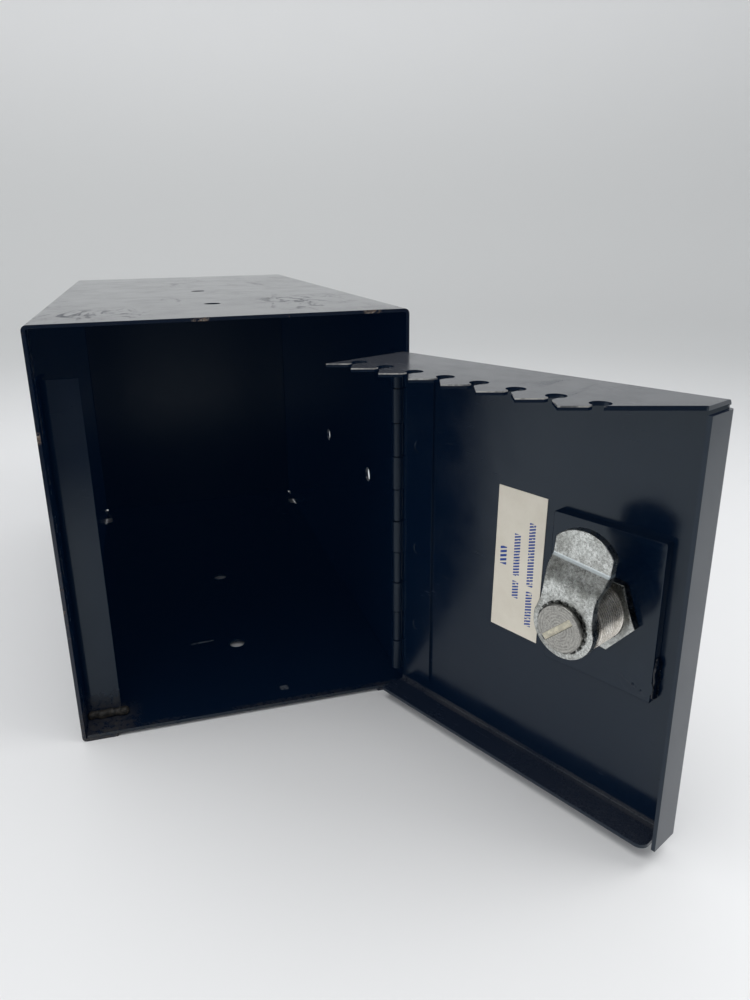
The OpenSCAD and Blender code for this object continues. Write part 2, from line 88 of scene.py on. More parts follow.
class Shader:
    """Builds one procedural material round a Principled BSDF."""

    def __init__(self, name, roughness=0.5, metallic=0.0, **constants):
        self.material = bpy.data.materials.new(name)
        self.material.use_nodes = True
        self.tree = self.material.node_tree
        self.bsdf = self.tree.nodes["Principled BSDF"]
        self.point = self.add("ShaderNodeTexCoord").outputs["Object"]
        self.height = None
        self.set("Roughness", roughness)
        self.set("Metallic", metallic)
        for socket, value in constants.items():
            self.set(socket.replace("_", " "), value)

    def add(self, kind, inputs=None, **properties):
        node = self.tree.nodes.new(kind)
        for key, value in properties.items():
            setattr(node, key, value)
        for key, value in (inputs or {}).items():
            self.feed(node.inputs[key], value)
        return node

    def feed(self, socket, value):
        if isinstance(value, bpy.types.NodeSocket):
            self.tree.links.new(value, socket)
        else:
            socket.default_value = value

    def set(self, socket, value):
        self.feed(self.bsdf.inputs[socket], value)

    def on_door(self):
        """Turns the coordinates so that -X runs along the door and +Y runs inward from the pin."""
        turn = Matrix.Rotation(-DOOR_TURN, 3, "Z")
        shift = -(turn @ Vector((PIN.x, PIN.y, 0)))
        node = self.add("ShaderNodeMapping", {"Vector": self.point})
        node.inputs["Rotation"].default_value = (0, 0, -DOOR_TURN)
        node.inputs["Location"].default_value = shift
        self.point = node.outputs[0]

    def shifted(self, offset=(0, 0, 0), rotation=(0, 0, 0), scale=(1, 1, 1)):
        node = self.add("ShaderNodeMapping", {"Vector": self.point})
        node.inputs["Location"].default_value = offset
        node.inputs["Rotation"].default_value = rotation
        node.inputs["Scale"].default_value = scale
        return node.outputs[0]

    def math(self, operation, a, b=0.0):
        return self.add("ShaderNodeMath", {0: a, 1: b}, operation=operation).outputs[0]

    def vector(self, operation, a, b=(0, 0, 0), output="Vector"):
        return self.add("ShaderNodeVectorMath", {0: a, 1: b}, operation=operation).outputs[output]

    def axis(self, name, point=None):
        split = self.add("ShaderNodeSeparateXYZ", {0: point or self.point})
        return split.outputs[name]

    def facing(self, name):
        """How far the surface faces along a row axis."""
        normal = self.add("ShaderNodeTexCoord").outputs["Normal"]
        return self.axis(name, normal)

    def facing_inward(self):
        """How far the surface faces the inside of the door, along the lock's axis."""
        normal = self.add("ShaderNodeTexCoord").outputs["Normal"]
        return self.vector("DOT_PRODUCT", normal, tuple(INWARD), "Value")

    def noise(self, size_mm, detail=4.0, roughness=0.55, distortion=0.0, point=None, seed=0.0):
        """Noise whose features are about size_mm wide, from 0 to 1."""
        source = point or self.point
        if seed:
            source = self.vector("ADD", source, (seed, -seed, seed / 2))
        node = self.add("ShaderNodeTexNoise", {
            "Vector": source, "Scale": 1 / (size_mm * MM), "Detail": detail,
            "Roughness": roughness, "Distortion": distortion,
        })
        return node.outputs["Fac"]

    def cells(self, size_mm, output="Distance"):
        inputs = {"Vector": self.point, "Scale": 1 / (size_mm * MM)}
        return self.add("ShaderNodeTexVoronoi", inputs).outputs[output]

    def band(self, value, low, high, out_low=0.0, out_high=1.0):
        """Maps value from low..high to out_low..out_high, smoothly and clamped."""
        node = self.add("ShaderNodeMapRange", {
            "Value": value, "From Min": low, "From Max": high,
            "To Min": out_low, "To Max": out_high,
        }, interpolation_type="SMOOTHSTEP")
        return node.outputs[0]

    def near(self, value, centre, half_width, soft):
        """1 within half_width of centre, falling to 0 over soft."""
        away = self.math("ABSOLUTE", self.math("SUBTRACT", value, centre))
        return self.band(away, half_width, half_width + soft, 1.0, 0.0)

    def times(self, *values):
        result = values[0]
        for value in values[1:]:
            result = self.math("MULTIPLY", result, value)
        return result

    def most(self, *values):
        result = values[0]
        for value in values[1:]:
            result = self.math("MAXIMUM", result, value)
        return result

    def mix(self, factor, a, b):
        node = self.add("ShaderNodeMix", data_type="RGBA")
        self.feed(node.inputs["Factor"], factor)
        for socket, value in ((node.inputs[6], a), (node.inputs[7], b)):
            self.feed(socket, (*value, 1.0) if isinstance(value, tuple) and len(value) == 3 else value)
        return node.outputs[2]

    def blend(self, factor, a, b):
        node = self.add("ShaderNodeMix", data_type="FLOAT")
        for key, value in ((0, factor), (2, a), (3, b)):
            self.feed(node.inputs[key], value)
        return node.outputs[0]

    def relief(self, height, depth_mm, strength=1.0):
        """Adds a bump whose full range is depth_mm deep."""
        inputs = {"Height": height, "Distance": depth_mm * MM, "Strength": strength}
        if self.height is not None:
            inputs["Normal"] = self.height
        node = self.add("ShaderNodeBump", inputs)
        self.height = node.outputs[0]
        self.set("Normal", self.height)


ENAMEL = (0.0009, 0.0042, 0.0120)
ENAMEL_THIN = (0.0016, 0.0055, 0.0150)
# A faint navy emission on every enamel: a painted glow that lifts the paint's shade off pure black.
PAINTED_NAVY_GLOW = (0.06, 0.32, 1.0, 1.0)
PAINTED_GLOW_STRENGTH = 0.0042
COOL = (0.86, 0.97, 1.0, 1.0)
NEUTRAL = (1.0, 1.0, 1.0, 1.0)
SCUFFED = (0.055, 0.058, 0.064)
DUST = (0.36, 0.35, 0.33)
GRIME = (0.034, 0.028, 0.021)
SCRATCHED = (0.13, 0.14, 0.15)
PRIMER = (0.11, 0.075, 0.05)
# Bare steel on rubbed edges, also used as a painted highlight on the comb's teeth.
BARE_STEEL_AND_HIGHLIGHT = (0.36, 0.35, 0.33)
RUSTED_STEEL = (0.20, 0.17, 0.14)


def scuffs(s):
    """Hair scratches in three directions, in patches."""
    found = []
    for k, turn in enumerate((0.4, 2.0, 1.1)):
        streak = s.shifted(offset=(k, k, k), rotation=(turn, turn * 0.6, turn), scale=(0.05, 1, 1))
        line = s.noise(0.6, 2, 0.5, point=streak)
        patch = s.noise(22, 3, 0.6, seed=5.0 + k)
        found.append(s.times(s.band(line, 0.66, 0.72), s.band(patch, 0.52, 0.66)))
    return s.most(*found)


def dust_specks(s):
    speck = s.band(s.cells(3.0), 0.045, 0.02)
    return s.times(speck, s.band(s.noise(9, 2, seed=8.0), 0.5, 0.62))


def settled_dust(s, above):
    """A thin film on what faces up, wiped and fingered in places: the film, and the wiped marks."""
    up = s.times(s.band(s.facing("Z"), 0.6, 0.95), s.band(s.axis("Z"), above - 1 * MM, above))
    film = s.blend(s.band(s.noise(0.9, 6, 0.85, seed=1.0), 0.34, 0.70), 0.30, 1.0)
    x, y = s.axis("X"), s.axis("Y")
    hand = s.most(
        s.times(s.near(x, -44 * MM, 8 * MM, 16 * MM), s.near(y, FRONT + 24 * MM, 4 * MM, 26 * MM)),
        s.times(s.near(x, 36 * MM, 6 * MM, 18 * MM), s.near(y, FRONT + 46 * MM, 10 * MM, 40 * MM)),
    )
    swirl = s.band(s.noise(9, 7, 0.75, 1.6, point=s.shifted(scale=(1, 0.4, 1)), seed=4.0), 0.52, 0.60)
    far_swirl = s.band(s.noise(16, 7, 0.7, 1.2, point=s.shifted(scale=(1, 0.35, 1)), seed=6.0), 0.58, 0.68)
    wiped = s.times(up, s.most(s.times(swirl, hand), s.math("MULTIPLY", far_swirl, 0.35)))
    return s.times(up, film, s.math("SUBTRACT", 1.0, wiped)), wiped


def fold_grit(s):
    """Grit caught along the fold between the door's panel and its bottom flange."""
    height = s.near(s.axis("Z"), DOOR_LOW.z + 1.7 * MM, 0.3 * MM, 1.3 * MM)
    depth = s.near(s.axis("Y"), -1.3 * MM, 0.6 * MM, 1.5 * MM)
    grit = s.band(s.noise(0.55, 6, 0.85, seed=7.0), 0.30, 0.72)
    drift = s.band(s.noise(26, 4, 0.6, seed=9.0), 0.30, 0.62, 0.35, 1.0)
    line = s.times(height, depth, grit, drift)
    lip = s.times(
        s.band(s.facing("Z"), 0.7, 0.95),
        s.near(s.axis("Z"), DOOR_LOW.z + 1.2 * MM, 0.4 * MM, 0.4 * MM),
        s.band(s.axis("X"), -40 * MM, -112 * MM, 0.18, 0.36),
        s.band(s.noise(0.9, 7, 0.9, seed=11.0), 0.36, 0.74, 0.35, 1.0),
    )
    return s.most(line, lip)


def corner_grime(s):
    """Brown dirt in the corner by the strike angle's foot and up the wall's front edge."""
    foot = s.times(
        s.near(s.axis("X"), CASE_LOW.x + 5 * MM, 7 * MM, 12 * MM),
        s.near(s.axis("Y"), FRONT + 6 * MM, 6 * MM, 9 * MM),
        s.near(s.axis("Z"), CASE_LOW.z + 3 * MM, 3 * MM, 9 * MM),
    )
    seam = s.times(
        s.near(s.axis("X"), CASE_LOW.x + 1.3 * MM, 0.4 * MM, 0.5 * MM),
        s.near(s.axis("Y"), FRONT + 6 * MM, 0.5 * MM, 2.0 * MM),
        s.band(s.noise(12, 4, 0.7, seed=33.0), 0.42, 0.6),
    )
    front_edge = s.times(
        s.near(s.axis("Y"), FRONT + 0.6 * MM, 0.6 * MM, 2.2 * MM),
        s.near(s.axis("Z"), CASE_LOW.z + 2.4 * MM, 0.4 * MM, 1 * MM),
        s.band(s.noise(18, 4, 0.7, seed=35.0), 0.35, 0.6, 0.10, 0.6),
    )
    patchy = s.band(s.noise(1.6, 6, 0.8, seed=31.0), 0.35, 0.66)
    return s.times(s.most(foot, seam, front_edge), patchy)


def floor_marks(s):
    """A scratch beside the front floor hole, and a speck of dirt near the front edge."""
    x, y = s.axis("X"), s.axis("Y")
    slant = s.math("ADD", y, s.math("MULTIPLY", x, -0.10))
    scratch = s.times(
        s.near(x, -15 * MM, 4.4 * MM, 1.2 * MM),
        s.near(slant, -29.8 * MM, 0.35 * MM, 0.5 * MM),
        s.band(s.noise(2.4, 4, 0.7, seed=51.0), 0.36, 0.60),
    )
    speck = s.times(
        s.near(x, 14 * MM, 0.9 * MM, 1.2 * MM),
        s.near(y, -77.5 * MM, 0.8 * MM, 1.2 * MM),
        s.band(s.noise(1.2, 4, 0.7, seed=52.0), 0.34, 0.60, 0.2, 0.7),
    )
    return s.times(s.most(scratch, speck), s.band(s.facing("Z"), 0.8, 0.95))


def rim_chips(s):
    """Paint chipped off the front edges, worst at three knocks."""
    front = s.band(s.axis("Y"), FRONT + 0.9 * MM, FRONT + 0.3 * MM)
    nick = s.band(s.noise(1.6, 5, 0.75, 0.4, seed=13.0), 0.60, 0.66)
    stretch = s.band(s.noise(36, 3, 0.6, seed=14.0), 0.54, 0.66)
    worn = s.band(s.noise(1.1, 5, 0.75, seed=16.0), 0.46, 0.54)
    high = s.band(s.axis("Z"), TOP - 2.2 * MM, TOP - 1.0 * MM)
    knocks = s.most(
        s.times(high, s.near(s.axis("X"), -8.5 * MM, 1.2 * MM, 2.5 * MM)),
        s.times(high, s.near(s.axis("X"), 50 * MM, 1.4 * MM, 2.5 * MM)),
        s.times(
            s.near(s.axis("Z"), 115 * MM, 0.9 * MM, 1.6 * MM),
            s.band(s.axis("X"), CASE_LOW.x + 1.3 * MM, CASE_LOW.x + 0.9 * MM),
        ),
    )
    return s.times(front, s.most(s.times(nick, stretch), s.times(knocks, worn)))


def worn_teeth_and_highlight(s):
    """Paint rubbed bright on the upper edges of the comb's teeth, partly real wear and partly a painted
    highlight on the rounded edges.
    """
    edge = s.band(s.facing("Z"), 0.99, 0.95)
    high = s.band(s.axis("Z"), DOOR_HIGH.z - 0.46 * MM, DOOR_HIGH.z - 0.36 * MM)
    tips = s.band(s.axis("Y"), 25 * MM, 27 * MM)
    rubbed_and_highlight = s.band(s.noise(5, 4, 0.7, seed=41.0), 0.35, 0.6, 0.25, 1.0)
    return s.times(edge, high, tips, rubbed_and_highlight)


def enamel(
    name, door=False, dust=0.0, rim=False, fold=False, grime=False, knuckles=False, marks=False,
    rough=(0.15, 0.24), scuffing=0.10, specks=0.22, peel=0.5, mirror=0.5, tint=COOL,
):
    """Semi-gloss black baked enamel: orange peel, fine scuffs, settled dust and chipped edges, with a
    faint painted navy glow so that its shade never falls to pure black.
    """
    s = Shader(name, IOR=1.5, Specular_IOR_Level=mirror, Specular_Tint=tint)
    # Painted glow: a faint navy emission, so that the paint's shade never falls to pure black.
    s.set("Emission Color", PAINTED_NAVY_GLOW)
    s.set("Emission Strength", PAINTED_GLOW_STRENGTH)
    if door:
        s.on_door()
    colour = s.mix(s.noise(28, 5, 0.6), ENAMEL, ENAMEL_THIN)
    gloss = s.band(s.noise(16, 4, 0.6, seed=1.7), 0.3, 0.7, *rough)
    scuff = scuffs(s)
    colour = s.mix(s.math("MULTIPLY", scuff, scuffing), colour, SCUFFED)
    gloss = s.blend(s.math("MULTIPLY", scuff, 4 * scuffing), gloss, 0.45)
    colour = s.mix(s.math("MULTIPLY", dust_specks(s), specks), colour, DUST)
    if dust:
        film, wiped = settled_dust(s, (DOOR_HIGH.z if door else TOP) - 1.5 * MM)
        colour = s.mix(s.math("MULTIPLY", film, dust), colour, DUST)
        gloss = s.blend(wiped, gloss, 0.42)
    if knuckles:
        flat = s.vector("MULTIPLY", s.point, (1, 1, 0))
        from_pin = s.vector("LENGTH", flat, output="Value")
        gloss = s.blend(s.band(from_pin, 2.7 * MM, 2.2 * MM), gloss, 0.42)
    if grime:
        dirt = corner_grime(s)
        colour = s.mix(dirt, colour, GRIME)
        gloss = s.blend(dirt, gloss, 0.7)
    if marks:
        colour = s.mix(floor_marks(s), colour, SCRATCHED)
    if fold:
        grit = fold_grit(s)
        colour = s.mix(s.math("MULTIPLY", grit, 0.5), colour, (0.15, 0.14, 0.125))
        gloss = s.blend(grit, gloss, 0.6)
        # Bare steel on the teeth's upper edges: partly rubbed paint, partly a painted highlight.
        rub_and_highlight = worn_teeth_and_highlight(s)
        colour = s.mix(rub_and_highlight, colour, BARE_STEEL_AND_HIGHLIGHT)
    if rim:
        chip = rim_chips(s)
        bare = s.band(s.noise(1.4, 3, seed=15.0), 0.5, 0.6)
        colour = s.mix(chip, colour, s.mix(bare, PRIMER, RUSTED_STEEL))
        gloss = s.blend(chip, gloss, 0.6)
        s.relief(s.math("SUBTRACT", 1.0, chip), 0.06)
    s.set("Base Color", colour)
    s.set("Roughness", gloss)
    s.relief(s.noise(46, 3, 0.5, seed=21.0), 0.16, 0.5)
    s.relief(s.noise(1.5, 2, 0.5, seed=20.0), 0.010, peel)
    s.relief(s.noise(2.2, 3, 0.6, seed=3.1), 0.004, peel)
    return s.material


def from_lock(s):
    """The place from the lock's axis at the pin's level, in a shader turned to the door."""
    return s.vector("ADD", s.point, (LOCK_ALONG, 0, -LOCK.z))


def lock_radius(s):
    """Distance from the lock's axis, in a shader turned to the door."""
    off = from_lock(s)
    x, z = s.axis("X", off), s.axis("Z", off)
    return s.math("SQRT", s.math("ADD", s.math("MULTIPLY", x, x), s.math("MULTIPLY", z, z)))


def zinc(name, tone=0.62, mottle=1.0, door=True, grease_and_shade=0.0, bend=0.0):
    """Bright zinc plate with fine mottled dull patches, pits, grease that is partly painted shade on
    upward faces, and a bend rubbed bright with a painted highlight line.
    """
    s = Shader(name, metallic=1.0)
    if door:
        s.on_door()
    broad = s.band(s.noise(7, 5, 0.65, 0.4), 0.34, 0.64)
    flecks = s.band(s.noise(0.7, 6, 0.85, 0.2, seed=2.0), 0.42, 0.60)
    spangle = s.cells(0.9, "Color")
    light = (tone * 1.30, tone * 1.34, tone * 1.30)
    dull = (tone * 0.62, tone * 0.63, tone * 0.59)
    bright = s.mix(broad, dull, light)
    colour = s.mix(s.math("MULTIPLY", flecks, 0.68 * mottle), bright, tuple(c * 0.42 for c in dull))
    white = s.band(s.noise(0.9, 5, 0.75, seed=9.0), 0.56, 0.64)
    colour = s.mix(s.math("MULTIPLY", white, 0.5 * mottle), colour, (tone * 1.4, tone * 1.42, tone * 1.4))
    pits = s.band(s.noise(0.5, 3, 0.6, seed=4.0), 0.64, 0.72)
    colour = s.mix(s.math("MULTIPLY", pits, 0.7 * mottle), colour, (0.03, 0.028, 0.024))
    if grease_and_shade:
        # A dark grease film, heavier on faces that look up and light on those that look down: partly
        # grease, partly painted shade on the nut's upper side.
        film = s.band(s.noise(3, 5, 0.7, seed=12.0), 0.35, 0.6, 0.45, 1.0)
        upward_shade = s.band(s.facing("Z"), -0.4, 0.4, 0.10, 1.0)
        colour = s.mix(s.times(film, upward_shade, grease_and_shade), colour, (0.02, 0.022, 0.026))
    rough = s.band(s.noise(2.0, 5, 0.7, seed=6.0), 0.3, 0.7, 0.20, 0.40)
    if bend:
        # A bluish-white line along the cam's bend: partly rubbed bright, partly a painted highlight.
        arm = (-math.sin(CAM_LEAN), 0, math.cos(CAM_LEAN))
        along_arm = s.vector("DOT_PRODUCT", from_lock(s), arm, "Value")
        rubbed_and_highlight = s.near(along_arm, bend, 0.30 * MM, 0.40 * MM)
        colour = s.mix(s.math("MULTIPLY", rubbed_and_highlight, 0.95), colour, (0.90, 0.98, 1.0))
        rough = s.blend(rubbed_and_highlight, rough, 0.40)
    s.set("Base Color", colour)
    s.set("Roughness", rough)
    s.relief(s.axis("X", spangle), 0.008, 0.6)
    s.relief(s.noise(0.7, 4, 0.7, seed=8.0), 0.03, 0.7)
    return s.material


def plated(name, dark, light, rough=(0.2, 0.34), film=0.5, dark_thread_roots=0.0):
    """Smooth plated metal, clouded with handling, with a little tarnish, and darker towards the roots of
    its thread.
    """
    s = Shader(name, metallic=1.0)
    s.on_door()
    cloud = s.band(s.noise(3.5, 5, 0.65, seed=1.0), 0.34, 0.66)
    tarnish = s.band(s.noise(0.9, 5, 0.75, seed=3.0), 0.48, 0.66)
    colour = s.mix(cloud, dark, light)
    colour = s.mix(s.math("MULTIPLY", tarnish, film), colour, tuple(c * 0.35 for c in dark))
    if dark_thread_roots:
        # Darker towards the thread's roots.
        root = s.band(lock_radius(s), THREAD_CREST, THREAD_ROOT, 0.0, dark_thread_roots)
        along_thread = s.near(s.axis("Y"), 8.5 * MM, 7.2 * MM, 0.1 * MM)
        colour = s.mix(s.times(root, along_thread), colour, (0.03, 0.026, 0.022))
    s.set("Base Color", colour)
    s.set("Roughness", s.band(s.noise(1.4, 4, 0.6, seed=5.0), 0.3, 0.7, *rough))
    s.relief(s.noise(0.5, 4, 0.7, seed=7.0), 0.006, 0.4)
    return s.material


def turned(name, dark, light, ring_mm, slot_floor_highlight=None):
    """Faced metal: uneven tool rings round the lock's axis, streaks, and a slot floor painted bright as a
    highlight, scraped in places.
    """
    s = Shader(name, metallic=1.0)
    s.on_door()
    radius = lock_radius(s)
    wander = s.math("MULTIPLY", s.noise(2.6, 5, 0.7, seed=1.0), 1.1 * MM)
    phase = s.math("MULTIPLY", s.math("ADD", radius, wander), 2 * math.pi / (ring_mm * MM))
    ring = s.band(s.math("SINE", phase), -1, 1)
    strong = s.band(s.noise(2.0, 4, 0.6, seed=9.0), 0.40, 0.62)
    stain = s.band(s.noise(2.4, 6, 0.75, seed=3.0), 0.35, 0.65)
    grain = s.band(s.noise(0.45, 4, 0.75, seed=5.0), 0.3, 0.7)
    tone = s.blend(strong, grain, s.blend(0.5, ring, stain))
    colour = s.mix(tone, dark, light)
    rough = s.blend(stain, 0.30, 0.46)
    if slot_floor_highlight:
        # Painted highlight: the slot's floor coloured near white, with scrape marks dulling it in places.
        below = s.band(s.axis("Y"), SCREW_FACE - 0.3 * MM, SCREW_FACE - 0.5 * MM)
        inner = s.times(below, s.band(s.facing_inward(), 0.6, 0.9))
        scrape = s.band(s.noise(1.2, 5, 0.75, seed=11.0), 0.35, 0.6)
        colour = s.mix(inner, colour, s.mix(scrape, slot_floor_highlight, tuple(c * 0.72 for c in slot_floor_highlight)))
        rough = s.blend(inner, rough, 0.55)
    s.set("Base Color", colour)
    s.set("Roughness", rough)
    s.relief(s.times(ring, strong), 0.018, 0.7)
    s.relief(s.noise(0.5, 4, 0.7, seed=7.0), 0.02, 0.5)
    return s.material


def print_marks(s):
    """Generic blue printing on the label: three columns of short upright strokes, no letters."""
    x = s.math("ADD", s.axis("X"), 55.1 * MM)
    z = s.math("SUBTRACT", s.axis("Z"), LABEL_Z)
    lean = s.math("ADD", z, s.math("MULTIPLY", x, 0.35))
    columns = (
        (-5.0, 1.15, 1.05, ((4.6, 11.0), (-14.6, 6.2))),
        (0.6, 1.15, 1.05, ((3.0, 7.4), (-9.4, 3.0))),
        (6.0, 1.25, 1.5, ((1.4, 3.2),)),
    )
    found = []
    for centre, half_width, stroke_mm, words in columns:
        inside = s.near(x, centre * MM, half_width * MM, 0.1 * MM)
        word = s.most(*(s.near(z, middle * MM, half * MM, 0.1 * MM) for middle, half in words))
        phase = s.math("MULTIPLY", lean, 2 * math.pi / (stroke_mm * MM))
        stroke = s.band(s.math("SINE", phase), -0.45, -0.1)
        broken = s.band(s.noise(1.1, 2, 0.5, seed=centre + 20), 0.33, 0.39)
        found.append(s.times(inside, word, stroke, broken))
    return s.most(*found)


def paper(name):
    """Cream label paper with faint fibres, a little soiling and plain blue marks."""
    s = Shader(name, roughness=0.55)
    s.on_door()
    fibre = s.noise(0.35, 4, 0.7, point=s.shifted(scale=(1, 1, 0.4)))
    age = s.noise(14, 4, 0.6, seed=2.0)
    colour = s.mix(s.band(age, 0.35, 0.7), (0.79, 0.745, 0.645), (0.73, 0.68, 0.58))
    colour = s.mix(s.math("MULTIPLY", s.band(fibre, 0.5, 0.75), 0.15), colour, (0.55, 0.50, 0.42))
    colour = s.mix(print_marks(s), colour, (0.018, 0.06, 0.30))
    s.set("Base Color", colour)
    s.relief(fibre, 0.006, 0.5)
    return s.material


def weld(name, dark, light, rough, grit_mm, door=False):
    """Painted weld bead with soot and grit in its hollows."""
    s = Shader(name, IOR=1.5)
    if door:
        s.on_door()
    grit = s.noise(1.2, 5, 0.7)
    s.set("Base Color", s.mix(s.band(grit, 0.4, 0.7), dark, light))
    s.set("Roughness", s.band(s.noise(2.0, 4, 0.6, seed=2.0), 0.3, 0.7, *rough))
    s.relief(grit, grit_mm, 0.5)
    return s.material


def ground(name, colour, rough=0.55, backdrop=None):
    """The plain pale table and the backdrop it curves up into, painted darker far from the object and near
    the table's level as painted shade of the light's falloff.
    """
    s = Shader(name, IOR=1.45)
    mottled = s.mix(s.noise(160, 3, 0.5), colour, tuple(c * 0.975 for c in colour))
    if backdrop:
        # Painted shade: darker with distance from the object, most near the table's level, where the
        # lamps' light falls off.
        away = s.vector("LENGTH", s.point, output="Value")
        rise = s.times(s.band(away, 0.28, 1.0), s.band(s.axis("Z"), 0.9, 0.2, 0.3, 1.0))
        mottled = s.mix(rise, mottled, backdrop)
    s.set("Base Color", mottled)
    s.set("Roughness", rough)
    return s.material


# ---------------------------------------------------------------- mesh helpers

def new_object(name, mesh):
    obj = bpy.data.objects.new(name, mesh)
    bpy.context.scene.collection.objects.link(obj)
    return obj


def bake_modifiers(obj):
    """Applies an object's modifiers, custom normals included."""
    view = bpy.context.evaluated_depsgraph_get()
    shaped = obj.evaluated_get(view)
    mesh = bpy.data.meshes.new_from_object(shaped, preserve_all_data_layers=True, depsgraph=view)
    obj.modifiers.clear()
    obj.data = mesh
    return obj


def finish_piece(piece, body, material, replaces=None):
    piece.data.materials.clear()
    piece.data.materials.append(material)
    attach(piece, body)
    if replaces:
        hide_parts(replaces)
    return piece


def clean_copy(node):
    """A copy of a CAD node's mesh with its flat faces joined up again."""
    mesh = frame["nodes"][node].data.copy()
    bm = bmesh.new()
    bm.from_mesh(mesh)
    bmesh.ops.remove_doubles(bm, verts=bm.verts, dist=1e-7)
    bmesh.ops.dissolve_limit(bm, angle_limit=math.radians(0.3), verts=bm.verts, edges=bm.edges)
    bm.to_mesh(mesh)
    bm.free()
    if "custom_normal" in mesh.attributes:
        mesh.attributes.remove(mesh.attributes["custom_normal"])
    mesh.polygons.foreach_set("use_smooth", [True] * len(mesh.polygons))
    return mesh


def eased(node, width_mm, segments):
    """The node's shape with its sharp edges broken by a small rounding."""
    piece = new_object(node + "_shell", clean_copy(node))
    bevel = piece.modifiers.new("ease", "BEVEL")
    bevel.width = width_mm * MM
    bevel.segments = segments
    bevel.limit_method = "ANGLE"
    bevel.angle_limit = math.radians(20)
    bevel.use_clamp_overlap = True
    bevel.harden_normals = False
    piece.modifiers.new("normals", "WEIGHTED_NORMAL").keep_sharp = True
    return bake_modifiers(piece)


# ---------------------------------------------------------------- the pieces

case_enamel = enamel("case_enamel", dust=0.30, rim=True, grime=True, rough=(0.10, 0.17), tint=NEUTRAL)
inner_enamel = enamel("inner_enamel", grime=True, rough=(0.19, 0.27), scuffing=0.04, peel=0.3, mirror=0.42)
floor_enamel = enamel("floor_enamel", grime=True, marks=True, rough=(0.19, 0.27), scuffing=0.015, peel=0.3)
rear_enamel = enamel("rear_enamel", rough=(0.24, 0.27), scuffing=0.0, specks=0.02, peel=0.1, mirror=0.24)
door_enamel = enamel("door_enamel", door=True, dust=0.20, fold=True)
plate_enamel = enamel("plate_enamel", door=True, rough=(0.12, 0.2))
hinge_enamel = enamel("hinge_enamel", door=True, knuckles=True, rough=(0.12, 0.2))
cam_zinc = zinc("cam_zinc", bend=CAM_BEND)
nut_zinc = zinc("nut_zinc", tone=0.74, mottle=0.5, grease_and_shade=0.92)
washer_zinc = zinc("washer_zinc", tone=0.45, mottle=0.6)
warm_nickel = plated("warm_nickel", (0.68, 0.63, 0.56), (0.93, 0.89, 0.82), film=0.2, dark_thread_roots=0.8)
plain_brass = plated("plain_brass", (0.50, 0.38, 0.16), (0.78, 0.62, 0.32), film=0.3)
spring_wire = plated("spring_wire", (0.40, 0.40, 0.42), (0.62, 0.62, 0.64), film=0.3)
screw_steel = turned(
    "screw_steel", (0.23, 0.225, 0.21), (0.61, 0.60, 0.56), ring_mm=0.85, slot_floor_highlight=(1.0, 0.95, 0.78),
)
dark_steel = zinc("dark_steel", tone=0.10, mottle=0.5)

# Node, body, slot, material, rounding in mm, rounding segments
SHELLS = [
    ("body_wrap", "enclosure", "enamel", case_enamel, 0.22, 2),
    ("floor_panel", "enclosure", "enamel_inner", floor_enamel, 0.2, 2),
    ("back_panel", "enclosure", "enamel_inner", rear_enamel, 0.2, 2),
    ("strike_angle", "enclosure", "enamel_inner", inner_enamel, 0.25, 2),
    ("hinge_leaf_box", "enclosure", "enamel_inner", hinge_enamel, 0.18, 2),
    ("hinge_leaf_door", "door", "enamel_inner", hinge_enamel, 0.18, 2),
    ("door_panel", "door", "enamel", door_enamel, 0.5, 3),
    ("lock_plate", "door", "enamel", plate_enamel, 0.35, 3),
    ("lock_nut", "door", "zinc", nut_zinc, 0.2, 2),
    ("lock_cam", "lock_rotor", "zinc", cam_zinc, 0.4, 3),
    ("cam_lock_washer", "lock_rotor", "dark_steel", dark_steel, 0.08, 1),
    ("cam_screw", "lock_rotor", "screw_steel", screw_steel, 0.18, 2),
]
for node, body, slot, material, width, segments in SHELLS:
    finish_piece(eased(node, width, segments), body, material, node)

for node, material in (
    ("hinge_pin", dark_steel), ("lock_barrel", warm_nickel), ("lock_plug", plain_brass),
    ("lock_wafers", plain_brass), ("wafer_springs", spring_wire), ("stop_washer", washer_zinc),
    ("label", paper("label_paper")),
):
    for slot in frame["nodes"][node].material_slots:
        slot.material = material

sooty_paint = weld("strike_weld_paint", (0.010, 0.010, 0.010), (0.036, 0.029, 0.022), (0.45, 0.7), 0.10)
glossy_paint = weld("lock_plate_weld_paint", ENAMEL, ENAMEL_THIN, (0.16, 0.3), 0.03, door=True)
INTO_PLATE = -ALONG * 0.5 * MM
NO_SHIFT = Vector((0, 0, 0))

# Node, body, slot, paint, smoothing passes, broad and fine lumps in mm, shift
BEADS = [
    ("strike_weld", "enclosure", "enamel_inner", sooty_paint, 22, 0.30, 0.14, NO_SHIFT),
    ("lock_plate_weld", "door", "enamel", glossy_paint, 14, 0.14, 0.02, INTO_PLATE),
]
for node, body, slot, material, passes, broad, fine, shift in BEADS:
    bead = new_object(node + "_bead", clean_copy(node))
    remesh = bead.modifiers.new("fuse", "REMESH")
    remesh.mode = "VOXEL"
    remesh.voxel_size = 0.3 * MM
    smooth = bead.modifiers.new("flow", "SMOOTH")
    smooth.iterations = passes
    bake_modifiers(bead)
    for vertex in bead.data.vertices:
        lump = noise.noise(vertex.co / (2.6 * MM)) * broad + noise.noise(vertex.co / (0.7 * MM)) * fine
        vertex.co += vertex.normal * lump * MM + shift
    finish_piece(bead, body, material, node)


